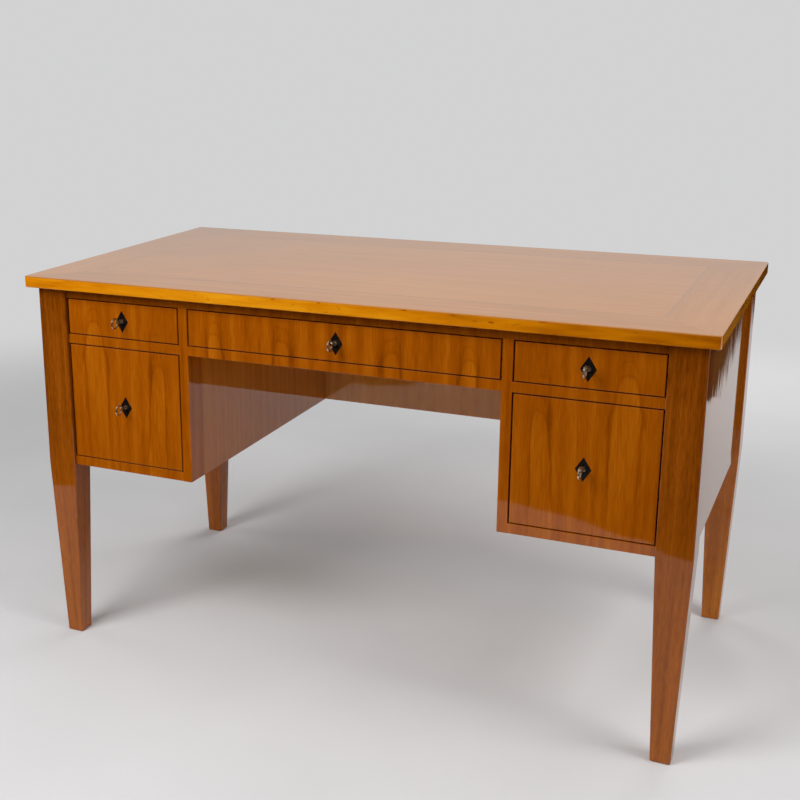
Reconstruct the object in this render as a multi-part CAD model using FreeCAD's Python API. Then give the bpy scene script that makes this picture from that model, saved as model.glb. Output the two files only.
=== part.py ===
import FreeCAD, Part
import os

# Kneehole desk in millimetres: X runs along the front to the right, Y to the back, Z up from the floor.

V = FreeCAD.Vector

# Tabletop: a core with mitred lipping, and saw-cut veneers on top
top_width = 1315.0
top_depth = 700.0
desk_height = 770.0
core_thickness = 20.5
veneer_thickness = 2.0
lipping_width = 9.0
border_width = 100.0
stringing_width = 3.0
corner_radius = 5.0
top_arris = 1.2
overhang_front = 20.0
overhang_back = 13.0
overhang_side = 18.0

# Legs: straight down to the pedestals' underside, then tapered on four sides
leg_width = 62.0
leg_depth = 56.0
leg_arris = 1.5
foot_width = 35.0
foot_chamfer = 2.0
pedestal_clearance = 381.0

# Front frame: rails and stiles behind the faces of the legs
frame_set_back = 7.0
rail_height = 18.5
rail_depth = 50.0
top_rail_height = 20.0
stile_width = 18.5
knee_width = 612.0
upper_opening_height = 73.0
frame_arris_radius = 0.8

# Panels of the carcass
side_panel_thickness = 18.0
side_set_back = 8.0
back_panel_thickness = 16.0
back_set_back = 7.0
inner_panel_thickness = 16.0

# Carcass joinery
tongue_thickness = 8.0
tongue_depth = 10.0
tongue_shoulder = 10.0
housing_depth = 5.0
tenon_thickness = 8.0
tenon_shoulder = 8.0
leg_tenon_length = 15.0
stile_tenon_length = 7.0

# Runners, kickers and stops
bearing_width = 14.0
guide_height = 10.0
guide_clearance = 1.0
run_clearance = 0.3
stop_width = 40.0
stop_depth = 22.0
stop_height = 6.0
stop_inset = 40.0
stop_clearance = 0.3

# Drawer boxes
drawer_back_room = 77.0
front_thickness = 20.0
front_side_gap = 3.0
front_upper_gap = 2.5
front_lower_gap = 2.2
front_arris_radius = 1.0
side_thickness = 11.0
side_drop = 3.0
back_thickness = 10.0
back_drop = 2.0
bottom_thickness = 6.0
bottom_rise = 10.0
groove_depth = 5.0

# Dovetails
lap_length = 14.0
tail_pitch = 40.0
pin_neck = 7.0
tail_slope = 0.14
least_tails = 2

# Locks
case_width = 46.0
case_wall = 1.5
selvedge_length = 56.0
selvedge_width = 11.0
selvedge_thickness = 2.0
bolt_plate_width = 18.0
bolt_plate_height = 8.0
bolt_bar_width = 9.0
bolt_thickness = 3.0
bolt_throw = 8.0
bolt_clearance = 0.3
strike_clearance = 0.6
drill_pin_radius = 1.2
drill_pin_length = 12.0

# Keys and escutcheons
key_rise = 1.5
key_reach = 36.0
shaft_radius = 3.0
pin_running_clearance = 0.08
key_end_clearance = 0.5
bit_reach = 8.0
bit_length = 4.5
bit_thickness = 2.4
bit_clearance = 1.0
keyhole_clearance = 0.4
collar_radius = 4.6
collar_length = 2.5
neck_radius = 2.3
collar_stand_off = 1.0
bow_diameter = 22.0
bow_wire = 3.2
bow_thickness = 2.8
key_flats = 24
escutcheon_width = 28.0
escutcheon_height = 43.5
escutcheon_thickness = 2.0
escutcheon_drop = 1.5

# Levels above the floor
z_core_top = desk_height - veneer_thickness
z_under = z_core_top - core_thickness
z_upper_ceiling = z_under - top_rail_height
z_upper_floor = z_upper_ceiling - upper_opening_height
z_deep_ceiling = z_upper_floor - rail_height
z_deep_floor = pedestal_clearance + rail_height

# Distances from the middle plane to either side
x_top = top_width / 2
x_leg_out = x_top - overhang_side
x_leg_in = x_leg_out - leg_width
x_side_out = x_leg_out - side_set_back
x_side_in = x_side_out - side_panel_thickness
x_knee = knee_width / 2
x_stile = x_knee + stile_width
x_inner = x_knee + inner_panel_thickness
x_bear_out = x_leg_in - front_side_gap - bearing_width
x_guide_out = x_leg_in - front_side_gap + guide_clearance
x_bear_in = x_stile + front_side_gap + bearing_width
x_guide_in = x_stile + front_side_gap - guide_clearance
x_bear_knee = x_knee - front_side_gap - bearing_width

# Distances from front to back; the keys stand out past the tabletop and count in the length
key_stand_out = max(key_reach - overhang_front - frame_set_back, 0.0)
y_top_back = (top_depth + key_stand_out) / 2
y_top_front = y_top_back - top_depth
y_leg_front = y_top_front + overhang_front
y_leg_rear = y_leg_front + leg_depth
y_face = y_leg_front + frame_set_back
y_rail_rear = y_face + rail_depth
y_tenon_front = y_face + tenon_shoulder
y_tenon_rear = y_rail_rear - tongue_depth - tenon_shoulder
y_rear_out = y_top_back - overhang_back
y_rear_in = y_rear_out - leg_depth
y_back_out = y_rear_out - back_set_back
y_back_in = y_back_out - back_panel_thickness
y_front_rear = y_face + front_thickness
y_drawer_end = y_back_in - drawer_back_room

# Room that the bolt and the bit need inside a lock case
case_depth = case_wall + key_end_clearance + bit_length + bit_clearance
case_below = bit_reach + bit_clearance + case_wall
bolt_rise = shaft_radius + bolt_clearance
case_above = bolt_rise + bolt_plate_height + bolt_throw + bolt_clearance + case_wall
y_cap = y_front_rear - case_wall
y_case = y_front_rear - case_depth
y_bolt_rear = y_cap - bolt_clearance
y_bolt_front = y_bolt_rear - bolt_thickness

# Openings in the front: left limit, right limit, floor and ceiling
openings = {
    "left_top": (-x_leg_in, -x_stile, z_upper_floor, z_upper_ceiling),
    "left_deep": (-x_leg_in, -x_stile, z_deep_floor, z_deep_ceiling),
    "centre": (-x_knee, x_knee, z_upper_floor, z_upper_ceiling),
    "right_top": (x_stile, x_leg_in, z_upper_floor, z_upper_ceiling),
    "right_deep": (x_stile, x_leg_in, z_deep_floor, z_deep_ceiling),
}
sides = {"left": -1, "right": 1}


def block(x0, x1, y0, y1, z0, z1):
    """Box between two opposite corners, with x0 and x1 in either order."""
    low = min(x0, x1)
    return Part.makeBox(abs(x1 - x0), y1 - y0, z1 - z0, V(low, y0, z0))


def prism(points, direction):
    """Solid made by pushing a closed outline along a direction."""
    return Part.Face(Part.makePolygon(points + points[:1])).extrude(direction)


def carve(solid, tools):
    """Solid with every tool taken out of it."""
    for tool in tools:
        solid = solid.cut(tool)
    return solid


def eased(solid, radius, heights):
    """Solid with its front arrises rounded where they run along the given heights, or all round."""
    arris = []
    for edge in solid.Edges:
        in_front = all(abs(v.Y - y_face) < radius / 2 for v in edge.Vertexes)
        at_height = any(all(abs(v.Z - z) < radius / 2 for v in edge.Vertexes) for z in heights)
        if in_front and (at_height or not heights):
            arris.append(edge)
    return solid.makeFillet(radius, arris)


def rounded_outline(x0, x1, y0, y1, radius, z):
    """Rectangle with round corners at height z."""
    centres = [
        (x1 - radius, y0 + radius, 1, -1),
        (x1 - radius, y1 - radius, 1, 1),
        (x0 + radius, y1 - radius, -1, 1),
        (x0 + radius, y0 + radius, -1, -1),
    ]
    arcs = []
    half = radius * 0.5 ** 0.5
    for cx, cy, sx, sy in centres:
        beside = V(cx + sx * radius, cy, z)
        ahead = V(cx, cy + sy * radius, z)
        middle = V(cx + sx * half, cy + sy * half, z)
        ends = (ahead, beside) if sx * sy < 0 else (beside, ahead)
        arcs.append((ends[0], middle, ends[1]))
    edges = []
    for index, arc in enumerate(arcs):
        following = arcs[(index + 1) % len(arcs)]
        edges.append(Part.Arc(*arc).toShape())
        edges.append(Part.LineSegment(arc[2], following[0]).toShape())
    return Part.Wire(edges)


# Tabletop

def mitred_frame(x0, x1, y0, y1, width, z0, z1):
    """Four strips round a rectangle, mitred at its corners."""
    outer = [(x0, y0), (x1, y0), (x1, y1), (x0, y1)]
    inner = [
        (x0 + width, y0 + width),
        (x1 - width, y0 + width),
        (x1 - width, y1 - width),
        (x0 + width, y1 - width),
    ]
    strips = []
    for index in range(len(outer)):
        following = (index + 1) % len(outer)
        outline = [outer[index], outer[following], inner[following], inner[index]]
        strips.append(prism([V(x, y, z0) for x, y in outline], V(0, 0, z1 - z0)))
    return strips


def top_slab(z0, z1, arris_level):
    """Tabletop layer with round corners and its arris planed off at one level."""
    outline = rounded_outline(-x_top, x_top, y_top_front, y_top_back, corner_radius, z0)
    slab = Part.Face(outline).extrude(V(0, 0, z1 - z0))
    arris = [e for e in slab.Edges if all(abs(v.Z - arris_level) < top_arris / 2 for v in e.Vertexes)]
    return slab.makeChamfer(top_arris, arris)


def tabletop():
    """Core, lipping and the three veneers of the tabletop."""
    lipping_slab = top_slab(z_under, z_core_top, z_under)
    border_slab = top_slab(z_core_top, desk_height, desk_height)
    lipping = mitred_frame(-x_top, x_top, y_top_front, y_top_back, lipping_width, z_under, z_core_top)
    border = mitred_frame(-x_top, x_top, y_top_front, y_top_back, border_width, z_core_top, desk_height)
    x_line = x_top - border_width
    y_line = (y_top_front + border_width, y_top_back - border_width)
    x_field = x_line - stringing_width
    y_field = (y_line[0] + stringing_width, y_line[1] - stringing_width)
    x_core = x_top - lipping_width
    y_core = (y_top_front + lipping_width, y_top_back - lipping_width)
    stringing = mitred_frame(-x_line, x_line, *y_line, stringing_width, z_core_top, desk_height)
    return {
        "top_core": [block(-x_core, x_core, *y_core, z_under, z_core_top)],
        "top_lipping": [strip.common(lipping_slab) for strip in lipping],
        "top_border_veneer": [strip.common(border_slab) for strip in border],
        "top_stringing": stringing,
        "top_field_veneer": [block(-x_field, x_field, *y_field, z_core_top, desk_height)],
    }


# Carcass: each tongue or tenon is made once, added to its own piece and cut from the other

def leg_section(x0, x1, y0, y1, z):
    """Corners of the leg's section at height z: a rectangle with its arrises planed off."""
    corners = [
        (x0 + leg_arris, y0),
        (x1 - leg_arris, y0),
        (x1, y0 + leg_arris),
        (x1, y1 - leg_arris),
        (x1 - leg_arris, y1),
        (x0 + leg_arris, y1),
        (x0, y1 - leg_arris),
        (x0, y0 + leg_arris),
    ]
    return [V(x, y, z) for x, y in corners]


def stacked(sections):
    """Solid with flat faces between sections that have the same number of corners."""
    rings = [sections[0], sections[-1]]
    for upper, lower in zip(sections, sections[1:]):
        for index in range(len(upper)):
            before = index - 1
            rings.append([upper[before], upper[index], lower[index], lower[before]])
    faces = [Part.Face(Part.makePolygon(ring + ring[:1])) for ring in rings]
    return Part.makeSolid(Part.makeShell(faces))


def leg_blank(side, y0, y1):
    """Leg with planed arrises, square above and tapered below the pedestals."""
    x0, x1 = sorted((side * x_leg_in, side * x_leg_out))
    x_mid = (x0 + x1) / 2
    y_mid = (y0 + y1) / 2
    foot = foot_width / 2
    sole = foot - foot_chamfer
    sections = [
        leg_section(x0, x1, y0, y1, z_under),
        leg_section(x0, x1, y0, y1, pedestal_clearance),
        leg_section(x_mid - foot, x_mid + foot, y_mid - foot, y_mid + foot, foot_chamfer),
        leg_section(x_mid - sole, x_mid + sole, y_mid - sole, y_mid + sole, 0.0),
    ]
    return stacked(sections)


def side_tongues(side):
    """Tongue that runs through a side panel into both of its legs."""
    x_mid = side * (x_side_in + x_side_out) / 2
    half = tongue_thickness / 2
    z0 = pedestal_clearance + tongue_shoulder
    z1 = z_under - tongue_shoulder
    return block(x_mid - half, x_mid + half, y_leg_rear - tongue_depth, y_rear_in + tongue_depth, z0, z1)


def back_tongues():
    """Tongue that runs through the back panel into both back legs."""
    y_mid = (y_back_in + y_back_out) / 2
    half = tongue_thickness / 2
    reach = x_leg_in + tongue_depth
    z0 = pedestal_clearance + tongue_shoulder
    z1 = z_under - tongue_shoulder
    return block(-reach, reach, y_mid - half, y_mid + half, z0, z1)


def inner_tongue(side):
    """Tongue along the front edge of an inner panel, let into its stile."""
    x_mid = side * (x_knee + x_inner) / 2
    half = tongue_thickness / 2
    z0 = pedestal_clearance + tongue_shoulder
    z1 = z_upper_ceiling - tongue_shoulder
    return block(x_mid - half, x_mid + half, y_rail_rear - tongue_depth, y_rail_rear, z0, z1)


def rail_tenon(x0, x1, z0, z1):
    """Tenon that runs through a rail and out of both its ends."""
    z_mid = (z0 + z1) / 2
    half = tenon_thickness / 2
    return block(x0, x1, y_tenon_front, y_tenon_rear, z_mid - half, z_mid + half)


def stile_tenon(side):
    """Tenon on the upper end of a stile, let into the top rail."""
    x_mid = side * (x_knee + x_stile) / 2
    half = tenon_thickness / 2
    z1 = z_upper_ceiling + stile_tenon_length
    return block(x_mid - half, x_mid + half, y_tenon_front, y_tenon_rear, z_upper_ceiling, z1)


def strike_mortise(opening):
    """Room in the rail above a drawer for its lock's bolt."""
    x0, x1, _, z_ceiling = opening
    x_mid = (x0 + x1) / 2
    half = bolt_bar_width / 2 + strike_clearance
    y0 = y_bolt_front - strike_clearance
    y1 = y_bolt_rear + strike_clearance
    z1 = z_ceiling - front_upper_gap + bolt_throw + strike_clearance
    return block(x_mid - half, x_mid + half, y0, y1, z_ceiling, z1)


def carcass():
    """Legs, panels, rails and stiles."""
    nodes = {}
    leg_end = x_leg_in + leg_tenon_length
    stile_end = x_stile - stile_tenon_length
    knee_end = x_knee + stile_tenon_length
    top_tenon = rail_tenon(-leg_end, leg_end, z_upper_ceiling, z_under)
    knee_tenon = rail_tenon(-knee_end, knee_end, z_deep_ceiling, z_upper_floor)
    back_tongue = back_tongues()

    top_rail = block(-x_leg_in, x_leg_in, y_face, y_rail_rear, z_upper_ceiling, z_under).fuse(top_tenon)
    strikes = [strike_mortise(openings[name]) for name in ("left_top", "centre", "right_top")]
    stile_tenons = [stile_tenon(side) for side in sides.values()]
    nodes["front_top_rail"] = [carve(top_rail, strikes + stile_tenons)]

    knee_rail = block(-x_knee, x_knee, y_face, y_rail_rear, z_deep_ceiling, z_upper_floor)
    knee_rail = eased(knee_rail, frame_arris_radius, (z_deep_ceiling, z_upper_floor))
    nodes["kneehole_rail"] = [knee_rail.fuse(knee_tenon)]

    back = block(-x_leg_in, x_leg_in, y_back_in, y_back_out, pedestal_clearance, z_under).fuse(back_tongue)
    for name, side in sides.items():
        inner = block(
            side * x_knee, side * x_inner, y_rail_rear, y_back_in + housing_depth, pedestal_clearance, z_under
        )
        back = back.cut(inner)
        nodes["inner_panel_" + name] = [inner.fuse(inner_tongue(side))]

        side_tongue = side_tongues(side)
        panel = block(side * x_side_in, side * x_side_out, y_leg_rear, y_rear_in, pedestal_clearance, z_under)
        nodes["side_panel_" + name] = [panel.fuse(side_tongue)]

        tenons = []
        for node, z0, z1 in (
            ("mid_rail_", z_deep_ceiling, z_upper_floor),
            ("bottom_rail_", pedestal_clearance, z_deep_floor),
        ):
            tenon = rail_tenon(side * stile_end, side * leg_end, z0, z1)
            rail = block(side * x_stile, side * x_leg_in, y_face, y_rail_rear, z0, z1)
            nodes[node + name] = [eased(rail, frame_arris_radius, (z0, z1)).fuse(tenon)]
            tenons.append(tenon)
        deep_strike = strike_mortise(openings[name + "_deep"])
        nodes["mid_rail_" + name] = [nodes["mid_rail_" + name][0].cut(deep_strike)]

        stile = block(side * x_knee, side * x_stile, y_face, y_rail_rear, pedestal_clearance, z_upper_ceiling)
        stile = stile.fuse(stile_tenon(side))
        nodes["stile_" + name] = [carve(stile, tenons + [knee_tenon, inner_tongue(side)])]

        front_leg = leg_blank(side, y_leg_front, y_leg_rear)
        nodes["leg_front_" + name] = [carve(front_leg, tenons + [top_tenon, side_tongue])]
        back_leg = leg_blank(side, y_rear_in, y_rear_out)
        nodes["leg_back_" + name] = [carve(back_leg, [side_tongue, back_tongue])]
    nodes["back_panel"] = [back]
    return nodes


def guided_runner(side, x_wall, x_bear, x_guide, y_end, z_top):
    """Runner with a step that guides the drawer's side, fixed along a panel."""
    z_low = z_top - rail_height
    z_guide = z_top + guide_height
    y_start = max(y_rail_rear, y_leg_rear)
    outline = [
        (x_wall, z_low),
        (x_bear, z_low),
        (x_bear, z_top),
        (x_guide, z_top),
        (x_guide, z_guide),
        (x_wall, z_guide),
    ]
    return prism([V(side * x, y_start, z) for x, z in outline], V(0, y_end - y_start, 0))


def runners_and_kickers():
    """Runners under every drawer, and kickers that carry the top and steady the upper drawers."""
    runners = []
    kickers = []
    y_start = max(y_rail_rear, y_leg_rear)
    for side in sides.values():
        for z_top in (z_upper_floor, z_deep_floor):
            runners.append(guided_runner(side, x_side_in, x_bear_out, x_guide_out, y_rear_in, z_top))
            runners.append(guided_runner(side, x_inner, x_bear_in, x_guide_in, y_back_in, z_top))
        knee = (side * x_knee, side * x_bear_knee, y_start, y_back_in)
        runners.append(block(*knee, z_deep_ceiling, z_upper_floor))
        kickers.append(block(*knee, z_upper_ceiling, z_under))
        kickers.append(block(side * x_side_in, side * x_bear_out, y_start, y_rear_in, z_upper_ceiling, z_under))
        kickers.append(block(side * x_inner, side * x_bear_in, y_start, y_back_in, z_upper_ceiling, z_under))
    return {"drawer_runners": runners, "top_kickers": kickers}


def drawer_stops():
    """Two blocks on the rail behind each drawer front, where the closed drawer stops."""
    stops = []
    y0 = y_front_rear + stop_clearance
    for x0, x1, z_floor, _ in openings.values():
        for x in (x0 + stop_inset, x1 - stop_inset - stop_width):
            stops.append(block(x, x + stop_width, y0, y0 + stop_depth, z_floor, z_floor + stop_height))
    return {"drawer_stops": stops}


# Drawers

def tail_bands(z0, z1):
    """Lower and upper limits of each dovetail at its wide end, between two heights."""
    count = max(least_tails, round((z1 - z0) / tail_pitch))
    pitch = (z1 - z0) / count
    return [(z0 + i * pitch + pin_neck / 2, z0 + (i + 1) * pitch - pin_neck / 2) for i in range(count)]


def tails(x0, x1, y_shoulder, y_tip, z0, z1):
    """Row of dovetails from a shoulder to their tips, through the thickness of a board."""
    flare = tail_slope * abs(y_tip - y_shoulder)
    row = []
    for low, high in tail_bands(z0, z1):
        outline = [(y_shoulder, low + flare), (y_shoulder, high - flare), (y_tip, high), (y_tip, low)]
        row.append(prism([V(x0, y, z) for y, z in outline], V(x1 - x0, 0, 0)))
    return row


def drawer_side(x0, x1, z0, z1, z_front, z_back, z_back_top):
    """Drawer side with lapped dovetails in front and through dovetails at the back."""
    y_shoulder = y_drawer_end - back_thickness
    board = block(x0, x1, y_front_rear, y_drawer_end, z0, z1)
    notch = block(x0, x1, y_shoulder, y_drawer_end, z_back, z_back_top)
    board = board.cut(carve(notch, tails(x0, x1, y_shoulder, y_drawer_end, z_back, z_back_top)))
    return board.fuse(tails(x0, x1, y_front_rear, y_front_rear - lap_length, z_front, z1))


def keyhole(x, z, y0, y1):
    """Keyhole: a round hole for the shaft with a slot below for the bit."""
    radius = shaft_radius + keyhole_clearance
    half = bit_thickness / 2 + keyhole_clearance
    hole = Part.makeCylinder(radius, y1 - y0, V(x, y0, z), V(0, 1, 0))
    return hole.fuse(block(x - half, x + half, y0, y1, z - bit_reach - keyhole_clearance, z))


def diamond(x, z, y0, y1):
    """Upright diamond plate between two depths."""
    half_width = escutcheon_width / 2
    half_height = escutcheon_height / 2
    outline = [(x - half_width, z), (x, z - half_height), (x + half_width, z), (x, z + half_height)]
    return prism([V(px, y0, pz) for px, pz in outline], V(0, y1 - y0, 0))


def lock_case(x, z):
    """Open-fronted lock case with a drill pin on its cap and a slot for the bolt's bar."""
    half = case_width / 2
    case = block(x - half, x + half, y_case, y_front_rear, z - case_below, z + case_above)
    room = block(
        x - half + case_wall,
        x + half - case_wall,
        y_case,
        y_cap,
        z - case_below + case_wall,
        z + case_above - case_wall,
    )
    slot = bar_room(x, z, z + case_above, y_bolt_rear + bolt_clearance)
    pin = Part.makeCylinder(drill_pin_radius, drill_pin_length, V(x, y_cap, z), V(0, -1, 0))
    return case.cut(room).cut(slot).fuse(pin)


def bar_room(x, z0, z1, y_rear):
    """Room that the bolt's bar slides in."""
    half = bolt_bar_width / 2 + bolt_clearance
    return block(x - half, x + half, y_bolt_front - bolt_clearance, y_rear, z0, z1)


def lock_bolt(x, z, z_edge):
    """Bolt: a plate in the case with a bar up to the drawer's upper edge."""
    half_plate = bolt_plate_width / 2
    half_bar = bolt_bar_width / 2
    z_low = z + bolt_rise
    z_plate = z_low + bolt_plate_height
    plate = block(x - half_plate, x + half_plate, y_bolt_front, y_bolt_rear, z_low, z_plate)
    bar = block(x - half_bar, x + half_bar, y_bolt_front, y_bolt_rear, z_plate, z_edge)
    return plate.fuse(bar).removeSplitter()


def filed_round(centre, spoke, along):
    """Bar filed round with small flats: its corners are the spoke turned about the bar's direction."""
    turns = [FreeCAD.Rotation(along, 360.0 * i / key_flats) for i in range(key_flats)]
    return prism([centre + turn.multVec(spoke) for turn in turns], along)


def key_bow(centre):
    """Flat forged ring in the plane of the bit."""
    outer = V(0, -bow_diameter / 2, 0)
    inner = V(0, bow_wire - bow_diameter / 2, 0)
    start = centre - V(bow_thickness / 2, 0, 0)
    along = V(bow_thickness, 0, 0)
    return filed_round(start, outer, along).cut(filed_round(start, inner, along))


def key(x, z):
    """Pipe key on its drill pin: turned shaft, filed collar and neck, a bit below and a ring for the bow."""
    bore = drill_pin_radius + pin_running_clearance
    y_end = y_cap - key_end_clearance
    y_bore = y_cap - drill_pin_length - key_end_clearance
    y_collar = y_face - collar_stand_off
    y_collar_front = y_collar - collar_length
    y_tip = y_face - key_reach
    y_neck = y_tip + bow_diameter - bow_wire / 2
    profile = [
        (bore, y_end),
        (shaft_radius, y_end),
        (shaft_radius, y_collar),
        (0.0, y_collar),
        (0.0, y_bore),
        (bore, y_bore),
    ]
    outline = Part.Face(Part.makePolygon([V(r, y, 0) for r, y in profile + profile[:1]]))
    shaft = outline.revolve(V(0, 0, 0), V(0, 1, 0), 360)
    shaft.translate(V(x, 0, z))
    collar = filed_round(V(x, y_collar, z), V(collar_radius, 0, 0), V(0, y_collar_front - y_collar, 0))
    neck = filed_round(V(x, y_collar_front, z), V(neck_radius, 0, 0), V(0, y_neck - y_collar_front, 0))
    bow = key_bow(V(x, y_tip + bow_diameter / 2, z))
    half_bit = bit_thickness / 2
    middle = (shaft_radius + bore) / 2
    bit = block(x - half_bit, x + half_bit, y_end - bit_length, y_end, z - bit_reach, z - middle)
    return shaft.fuse([collar, neck, bow, bit])


def drawer(name, opening):
    """Every piece of one drawer with its lock, escutcheon and key."""
    x0, x1 = opening[0] + front_side_gap, opening[1] - front_side_gap
    z_low, z_high = opening[2] + front_lower_gap, opening[3] - front_upper_gap
    z_side = opening[2] + run_clearance
    z_side_top = z_high - side_drop
    z_bottom = z_side + bottom_rise
    z_inside = z_bottom + bottom_thickness
    z_back_top = z_side_top - back_drop
    x_mid = (x0 + x1) / 2
    z_plate = (z_low + z_high) / 2 - escutcheon_drop
    z_key = z_plate + key_rise

    walls = [
        drawer_side(x, x + side_thickness, z_side, z_side_top, z_low, z_inside, z_back_top)
        for x in (x0, x1 - side_thickness)
    ]
    back = carve(block(x0, x1, y_drawer_end - back_thickness, y_drawer_end, z_inside, z_back_top), walls)
    slip = side_thickness - groove_depth
    bottom = block(x0 + slip, x1 - slip, y_front_rear - groove_depth, y_drawer_end, z_bottom, z_inside)

    half = case_width / 2
    half_selvedge = selvedge_length / 2
    recess = block(x_mid - half, x_mid + half, y_case, y_front_rear, z_key - case_below, z_key + case_above)
    selvedge = block(
        x_mid - half_selvedge,
        x_mid + half_selvedge,
        y_front_rear - selvedge_width,
        y_front_rear,
        z_high - selvedge_thickness,
        z_high,
    )
    bar_groove = bar_room(x_mid, z_key, z_high, y_front_rear)
    plate = diamond(x_mid, z_plate, y_face, y_face + escutcheon_thickness)
    passage = keyhole(x_mid, z_key, y_face, y_case)
    front = eased(block(x0, x1, y_face, y_front_rear, z_low, z_high), front_arris_radius, ())
    front = carve(front, walls + [bottom, recess, selvedge, bar_groove, plate, passage])
    slot = bar_room(x_mid, z_high - selvedge_thickness, z_high, y_bolt_rear + bolt_clearance)
    return {
        name + "_front": [front],
        name + "_box": [wall.cut(bottom) for wall in walls] + [back],
        name + "_bottom": [bottom],
        name + "_escutcheon": [plate.cut(passage)],
        name + "_lock": [lock_case(x_mid, z_key), selvedge.cut(slot)],
        name + "_bolt": [lock_bolt(x_mid, z_key, z_high)],
        name + "_key": [key(x_mid, z_key)],
    }


def desk():
    """All nodes of the desk, each with the solids that it holds."""
    nodes = {}
    nodes.update(tabletop())
    nodes.update(carcass())
    nodes.update(runners_and_kickers())
    nodes.update(drawer_stops())
    for name, opening in openings.items():
        nodes.update(drawer(name, opening))
    return nodes


os.makedirs("parts", exist_ok=True)
for node_name, pieces in desk().items():
    shape = pieces[0] if len(pieces) == 1 else Part.makeCompound(pieces)
    shape.exportStep(os.path.join("parts", node_name + ".step"))
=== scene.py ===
"""Looks of a French-polished kneehole desk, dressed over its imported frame."""

import logging
import math
from dataclasses import dataclass, replace
from enum import Enum

import bmesh
import bpy
from mathutils import Matrix, Vector


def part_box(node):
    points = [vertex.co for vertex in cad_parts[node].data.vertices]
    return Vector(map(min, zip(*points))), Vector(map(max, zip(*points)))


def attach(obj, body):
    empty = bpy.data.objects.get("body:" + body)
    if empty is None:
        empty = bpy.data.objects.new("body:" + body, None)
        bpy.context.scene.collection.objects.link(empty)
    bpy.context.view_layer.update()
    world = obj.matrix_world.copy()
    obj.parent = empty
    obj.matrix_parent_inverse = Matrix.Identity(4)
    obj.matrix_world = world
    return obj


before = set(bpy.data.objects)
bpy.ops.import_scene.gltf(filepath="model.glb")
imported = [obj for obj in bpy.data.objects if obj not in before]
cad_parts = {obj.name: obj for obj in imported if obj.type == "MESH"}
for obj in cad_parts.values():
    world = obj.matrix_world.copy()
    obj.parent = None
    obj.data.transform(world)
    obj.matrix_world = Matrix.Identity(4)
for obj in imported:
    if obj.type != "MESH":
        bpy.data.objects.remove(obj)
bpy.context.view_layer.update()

MM = 0.001
MM_PER_M = 1000.0
DRAWERS = ("left_top", "left_deep", "centre", "right_top", "right_deep")
SIDES = ("left", "right")
FRONT_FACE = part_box("centre_front")[0].y
DRAWER_BACK_MM = 10.0
NOISE_MIDDLE = 0.5
POLISH_IOR = 1.5

Socket = bpy.types.NodeSocket
Tree = bpy.types.NodeTree
Colour = tuple[float, float, float, float]

log = logging.getLogger("desk")


def linear(colour: str) -> Colour:
    """Turn an sRGB hex colour to linear light.

    Args:
        colour: A hash and six hex digits.

    Returns:
        Red, green, blue and full alpha, as a shader takes them.
    """
    channels = [int(colour[start:start + 2], 16) / 255 for start in (1, 3, 5)]
    light = [c / 12.92 if c <= 0.04045 else ((c + 0.055) / 1.055) ** 2.4 for c in channels]
    return (*light, 1.0)


def put(tree: Tree, kind: str, links: dict[int | str, object], **settings: object) -> bpy.types.Node:
    """Add a node with its settings and links.

    Args:
        tree: Node tree that gets the node.
        kind: Type of the shader node.
        links: A source socket or a plain value for each input, by name or number.
        settings: Attributes of the node; stops gives a ramp's positions and hex colours.

    Returns:
        The new node.
    """
    node = tree.nodes.new("ShaderNode" + kind)
    stops = settings.pop("stops", ())
    for name, value in settings.items():
        setattr(node, name, value)
    for index, (position, colour) in enumerate(stops):
        elements = node.color_ramp.elements
        element = elements[index] if index < len(elements) else elements.new(position)
        element.position = position
        element.color = linear(colour)
    for name, source in links.items():
        if isinstance(source, Socket):
            tree.links.new(source, node.inputs[name])
        else:
            node.inputs[name].default_value = source
    return node


def calc(tree: Tree, operation: str, *values: Socket | float) -> Socket:
    """Add a node that reckons with numbers.

    Args:
        tree: Node tree that gets the node.
        operation: What the node reckons.
        values: Its inputs in order.

    Returns:
        The result.
    """
    return put(tree, "Math", dict(enumerate(values)), operation=operation).outputs[0]


def relief(tree: Tree, height: Socket, depth_mm: float, strength: float) -> Socket:
    """Raise a pattern into relief.

    Args:
        tree: Node tree of the finish.
        height: The pattern.
        depth_mm: Height of the relief where the pattern is 1.
        strength: Share of the relief that shows.

    Returns:
        The normal of the relief.
    """
    links = {"Strength": strength, "Distance": depth_mm * MM, "Height": height}
    return put(tree, "Bump", links).outputs[0]


def coat(tree: Tree, inputs: dict[int | str, object]) -> None:
    """Close a finish with its surface.

    Args:
        tree: Node tree of the finish.
        inputs: Inputs of the surface's shader.
    """
    shader = put(tree, "BsdfPrincipled", inputs).outputs[0]
    put(tree, "OutputMaterial", {"Surface": shader})


def blank_material(name: str) -> tuple[bpy.types.Material, Tree]:
    """Make a material whose node tree holds nothing yet.

    Args:
        name: Name of the material.

    Returns:
        The material and its node tree.
    """
    material = bpy.data.materials.new(name)
    material.use_nodes = True
    material.node_tree.nodes.clear()
    return material, material.node_tree


def dress(node: str, material: bpy.types.Material) -> None:
    """Give a CAD node its finish in its object's own material slots.

    Args:
        node: Name of the CAD node.
        material: Finish that it gets.
    """
    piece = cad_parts[node]
    if not piece.material_slots:
        piece.data.materials.append(material)
    for place in piece.material_slots:
        place.link = "OBJECT"
        place.material = material
    log.info("dressed %s in %s", node, material.name)


class Blend(Enum):
    """Kinds of mixing node, each with the numbers of its two inputs and of its output."""

    VECTOR = (4, 5, 1)
    RGBA = (6, 7, 2)

    def lay(self, tree: Tree, share: Socket, first: object, second: object) -> Socket:
        """Mix two sources.

        Args:
            tree: Node tree of the finish.
            share: Share of the second source.
            first: The source at a share of 0.
            second: The source at a share of 1.

        Returns:
            The mixture.
        """
        first_input, second_input, output = self.value
        links = {0: share, first_input: first, second_input: second}
        return put(tree, "Mix", links, data_type=self.name).outputs[output]


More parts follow.
